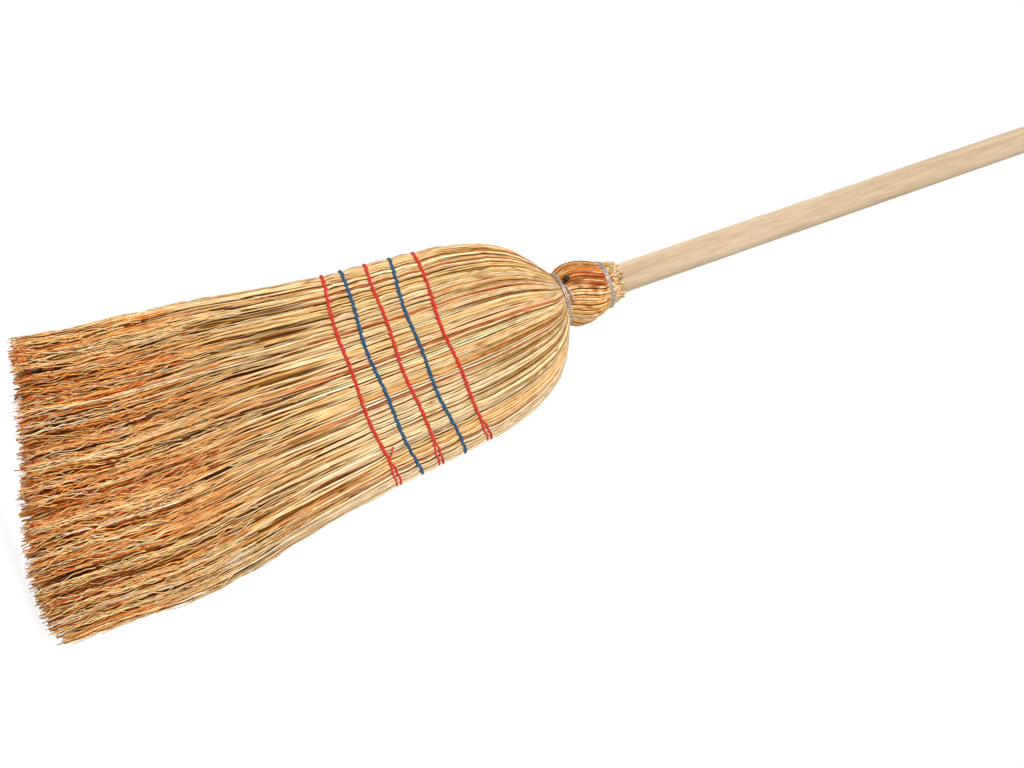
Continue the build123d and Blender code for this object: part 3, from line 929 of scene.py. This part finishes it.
def tube_piece(name, paths, radii, material, replaced, closed=False):
    """One piece made of round tubes along paths in millimetres above the neck."""
    angle = np.arange(SIDES)[:, None] / SIDES * TAU
    tubes, faces = [], []
    base = 0
    for path, radius in zip(paths, radii):
        tangent = np.roll(path, -1, 0) - np.roll(path, 1, 0) if closed else np.gradient(path, axis=0)
        tangent /= np.linalg.norm(tangent, axis=1, keepdims=True)
        up = np.tile(UP, (len(path), 1))
        steep = np.abs(tangent[:, 2]) > 0.9
        up[steep] = [0.3, 1.0, 0.0]
        side = np.cross(tangent, up)
        side /= np.linalg.norm(side, axis=1, keepdims=True)
        out = np.cross(side, tangent)
        ring = np.cos(angle) * side[:, None, :] + np.sin(angle) * out[:, None, :]
        tubes.append((path[:, None, :] + np.asarray(radius).reshape(-1, 1, 1) * ring).reshape(-1, 3))
        faces.extend(tube_faces(base, len(path), closed))
        base += len(path) * SIDES
    points = np.concatenate(tubes)
    points[:, 2] += NECK
    mesh = bpy.data.meshes.new(name)
    mesh.from_pydata((points * METRE).tolist(), [], faces)
    mesh.polygons.foreach_set("use_smooth", np.ones(len(mesh.polygons), bool))
    mesh.update()
    add_piece(name, mesh, material, replaced)


# Sewing: a two-ply twine round the head, and stitches that lap over it and go into the straw
ROUND = 720  # points of a row's twine
STITCHES = 36  # round each row
PLY_R, PLY_OFF, PLY_PITCH = 1.05, 0.66, 6.5  # radius of a ply, its distance from the middle, way to a twist
APART_FROM, APART_TO = 0.76, 0.86  # shares of the half-width where the plies of the red rows part
APART_UP, APART_OUT = 1.9, 0.3  # how far each ply lies up or down there, and out
BARE_FROM = 0.78  # share of the half-width where the stitches of the red rows end
STITCH_HALF = 6.0  # half of a stitch, in points of the twine
TAIL_SHARE = 0.75  # share of the half-width where the last row's loose end stands off


def twine_plies(row, turn, w):
    """Two plies of twine that wind round each other, and lie side by side at the right of the red rows."""
    mid = on_head(turn, w, -1.0)
    run = np.concatenate([[0], np.cumsum(np.linalg.norm(np.diff(mid, axis=0), axis=1))])
    twists = round(run[-1] / PLY_PITCH)
    angle = run / (run[-1] + np.linalg.norm(mid[-1] - mid[0])) * twists * TAU
    outward = np.stack([np.cos(turn), np.sin(turn) * 3, np.zeros(ROUND)], -1)
    outward /= np.linalg.norm(outward, axis=1, keepdims=True)
    apart = 0.0 if row % 2 else smooth(APART_FROM, APART_TO, np.cos(turn))[:, None]
    plies = []
    for ply in (0, math.pi):
        swing = PLY_OFF * (np.cos(angle + ply)[:, None] * outward + np.sin(angle + ply)[:, None] * UP)
        beside = APART_UP * math.cos(ply) * UP + APART_OUT * outward
        plies.append(mid + swing * (1 - apart) + beside * apart)
    return plies


def stitch_loops(row, turn, w):
    """Paths and radii of the stitches over a row of twine."""
    points = np.arange(ROUND)
    s = np.linspace(-1, 1, 9)
    loops, sizes = [], []
    for i in range(STITCHES):
        at = (i + 0.5 + rng.uniform(-0.15, 0.15)) / STITCHES * ROUND
        here = np.interp(at + s * STITCH_HALF, points, turn)
        if row % 2 == 0 and math.cos(here[4]) > BARE_FROM:
            continue
        height = np.interp(at, points, w) + s * rng.uniform(1.6, 2.3)
        loops.append(on_head(here, height, -2.3 + 4.2 * np.abs(s) ** 2.5))
        sizes.append(1 - 0.25 * np.abs(s))
    return loops, sizes


def twine_tail(row):
    """Path and radii of a row's loose end."""
    s = np.linspace(0, 1, 9)
    turn = -math.acos(TAIL_SHARE) - 0.14 * s
    return on_head(turn, seam_w(row, TAIL_SHARE) + 6.5 * s, -1.6 - 1.2 * np.sin(3 * s)), 0.85 - 0.2 * s


def sew(row):
    """One row of sewing, in turn red and blue from the top, with a loose end on the last."""
    colour = "blue" if row % 2 else "red"
    turn = even_turns(ROUND, SEAMS[row])
    w = seam_w(row, np.cos(turn)) + 0.35 * np.sin(STITCHES * np.arange(ROUND) / ROUND * TAU)
    plies = twine_plies(row, turn, w)
    band = [f"seam_{row + 1}_band"]
    tube_piece(f"twine_{row + 1}", plies, [PLY_R, PLY_R], twine[colour], band, closed=True)
    loops, sizes = stitch_loops(row, turn, w)
    if row == len(SEAMS) - 1:
        tail, tail_size = twine_tail(row)
        loops.append(tail)
        sizes.append(tail_size)
    stitches = [f"seam_{row + 1}_stitches"]
    tube_piece(f"stitches_{row + 1}", loops, sizes, twine[colour], stitches)


for row in range(len(SEAMS)):
    sew(row)


# Wire at the neck, with its loose end, and at the collar
NECK_WIRE_R = [0.8, 0.6]  # of the winding and of its loose end
COLLAR_WIRE_R = [0.78]


def coil(radius, w0, turns, pitch, tilt, per_turn=96, wobble=0.25):
    """A winding of wire, which sits lower on the front by tilt."""
    a = np.linspace(0, turns * TAU, int(turns * per_turn)) + 0.6
    r = radius + wobble * np.sin(3 * a + 1) * 0.4 + wobble * np.sin(7 * a) * 0.3
    w = w0 + pitch * (a - a.mean()) / TAU + wobble * np.sin(2 * a) + tilt * np.sin(a)
    return np.stack([r * np.cos(a), r * np.sin(a), w], -1)


def loose_end():
    """The neck wire's end, which leaves the winding and rises across the front of the bulb."""
    s = np.linspace(0, 1, 20)
    x = -9 + 15.5 * s
    w = 0.6 + 2.9 * s
    r = np.interp(w, RISES, BULB_R) + 1.5 + 1.2 * s
    return np.stack([x, -np.sqrt(r**2 - x**2), w], -1)


neck_coil = coil(radius=25.4, w0=-0.6, turns=2.15, pitch=1.55, tilt=1.8)
collar_coil = coil(radius=22.4, w0=COLLAR, turns=3.2, pitch=1.5, tilt=2.4)
tube_piece("wire_neck", [neck_coil, loose_end()], NECK_WIRE_R, zinc, ["neck_wire"])
tube_piece("wire_collar", [collar_coil], COLLAR_WIRE_R, zinc, ["collar_wire"])


# Stage: a white floor and world, four suns and the camera
def emptied(owner):
    """The node tree of a material or world, with nothing in it."""
    owner.use_nodes = True
    owner.node_tree.nodes.clear()
    return owner.node_tree


def by_ray(tree, rays, other, seen):
    """A shader that is one thing to two kinds of rays, and another to the rest."""
    path = tree.nodes.new("ShaderNodeLightPath")
    either = tree.nodes.new("ShaderNodeMath")
    either.operation = "MAXIMUM"
    mix = tree.nodes.new("ShaderNodeMixShader")
    for name, socket in zip(rays, either.inputs):
        tree.links.new(path.outputs[name], socket)
    for source, socket in zip((either, other, seen), mix.inputs):
        tree.links.new(source.outputs[0], socket)
    return mix


def floor_material():
    """Looks white to the camera and still takes a soft shadow."""
    made = bpy.data.materials.new("floor")
    tree = emptied(made)
    plain = node(tree, "ShaderNodeBsdfDiffuse", Color=(0.28, 0.28, 0.28, 1))
    glow = node(tree, "ShaderNodeEmission", Strength=0.82)
    both = tree.nodes.new("ShaderNodeAddShader")
    tree.links.new(plain.outputs[0], both.inputs[0])
    tree.links.new(glow.outputs[0], both.inputs[1])
    bare = node(tree, "ShaderNodeBsdfDiffuse", Color=(0.6, 0.6, 0.6, 1))
    top = by_ray(tree, ("Is Camera Ray", "Is Glossy Ray"), bare, both)
    out = tree.nodes.new("ShaderNodeOutputMaterial")
    tree.links.new(top.outputs[0], out.inputs["Surface"])
    return made


def white_world():
    """White where it is seen, softer as a light."""
    world = bpy.data.worlds.new("studio")
    tree = emptied(world)
    white = node(tree, "ShaderNodeBackground", Color=(1, 1, 1, 1))
    fill = node(tree, "ShaderNodeBackground", Color=(1.0, 0.98, 0.95, 1), Strength=0.5)
    top = by_ray(tree, ("Is Camera Ray", "Is Transmission Ray"), fill, white)
    out = tree.nodes.new("ShaderNodeOutputWorld")
    tree.links.new(top.outputs[0], out.inputs["Surface"])
    return world


def sun(name, towards, strength, angle):
    """A light from far off, softer with a wider angle in degrees."""
    lamp = bpy.data.lights.new(name, "SUN")
    lamp.energy = strength
    lamp.angle = math.radians(angle)
    obj = bpy.data.objects.new(name, lamp)
    bpy.context.scene.collection.objects.link(obj)
    obj.rotation_mode = "QUATERNION"
    obj.rotation_quaternion = Vector(towards).to_track_quat("-Z", "Y")


FLOOR_HALF = 30  # metres
mesh = bpy.data.meshes.new("floor")
corners = [(x * FLOOR_HALF, y * FLOOR_HALF, 0) for x, y in ((-1, -1), (1, -1), (1, 1), (-1, 1))]
mesh.from_pydata(corners, [], [(0, 1, 2, 3)])
mesh.materials.append(floor_material())
floor = bpy.data.objects.new("floor", mesh)
bpy.context.scene.collection.objects.link(floor)
bpy.context.scene.world = white_world()
sun("key", towards=(0.40, 0.88, -0.26), strength=2.5, angle=12)
sun("front", towards=(-0.45, 0.88, 0.10), strength=1.1, angle=50)
sun("side", towards=(-0.90, 0.20, -0.25), strength=0.8, angle=60)
sun("back", towards=(0.25, -0.90, -0.35), strength=1.2, angle=40)

# Camera at the photo's angle, worked out from the handle's converging edges
PITCH = math.radians(17.7288)
ROLL_COS, ROLL_SIN = 0.93862, 0.34495
CAMERA_AT = (0.05823, -0.86109, 0.15209)  # metres
forward = Vector((0, math.cos(PITCH), math.sin(PITCH)))
along = Vector((0, -math.sin(PITCH), math.cos(PITCH)))
across = Vector((1, 0, 0))
right = ROLL_COS * along + ROLL_SIN * across
up = ROLL_SIN * along - ROLL_COS * across
camera = bpy.data.cameras.new("camera")
camera.lens = 35.156
camera.sensor_width = 36.0
camera.clip_start = 0.01
camera.clip_end = 100
cam = bpy.data.objects.new("camera", camera)
bpy.context.scene.collection.objects.link(cam)
axes = [(right[i], up[i], -forward[i], CAMERA_AT[i]) for i in range(3)]
cam.matrix_world = Matrix((*axes, (0, 0, 0, 1)))
bpy.context.scene.camera = cam
bpy.context.scene.view_settings.view_transform = "Standard"
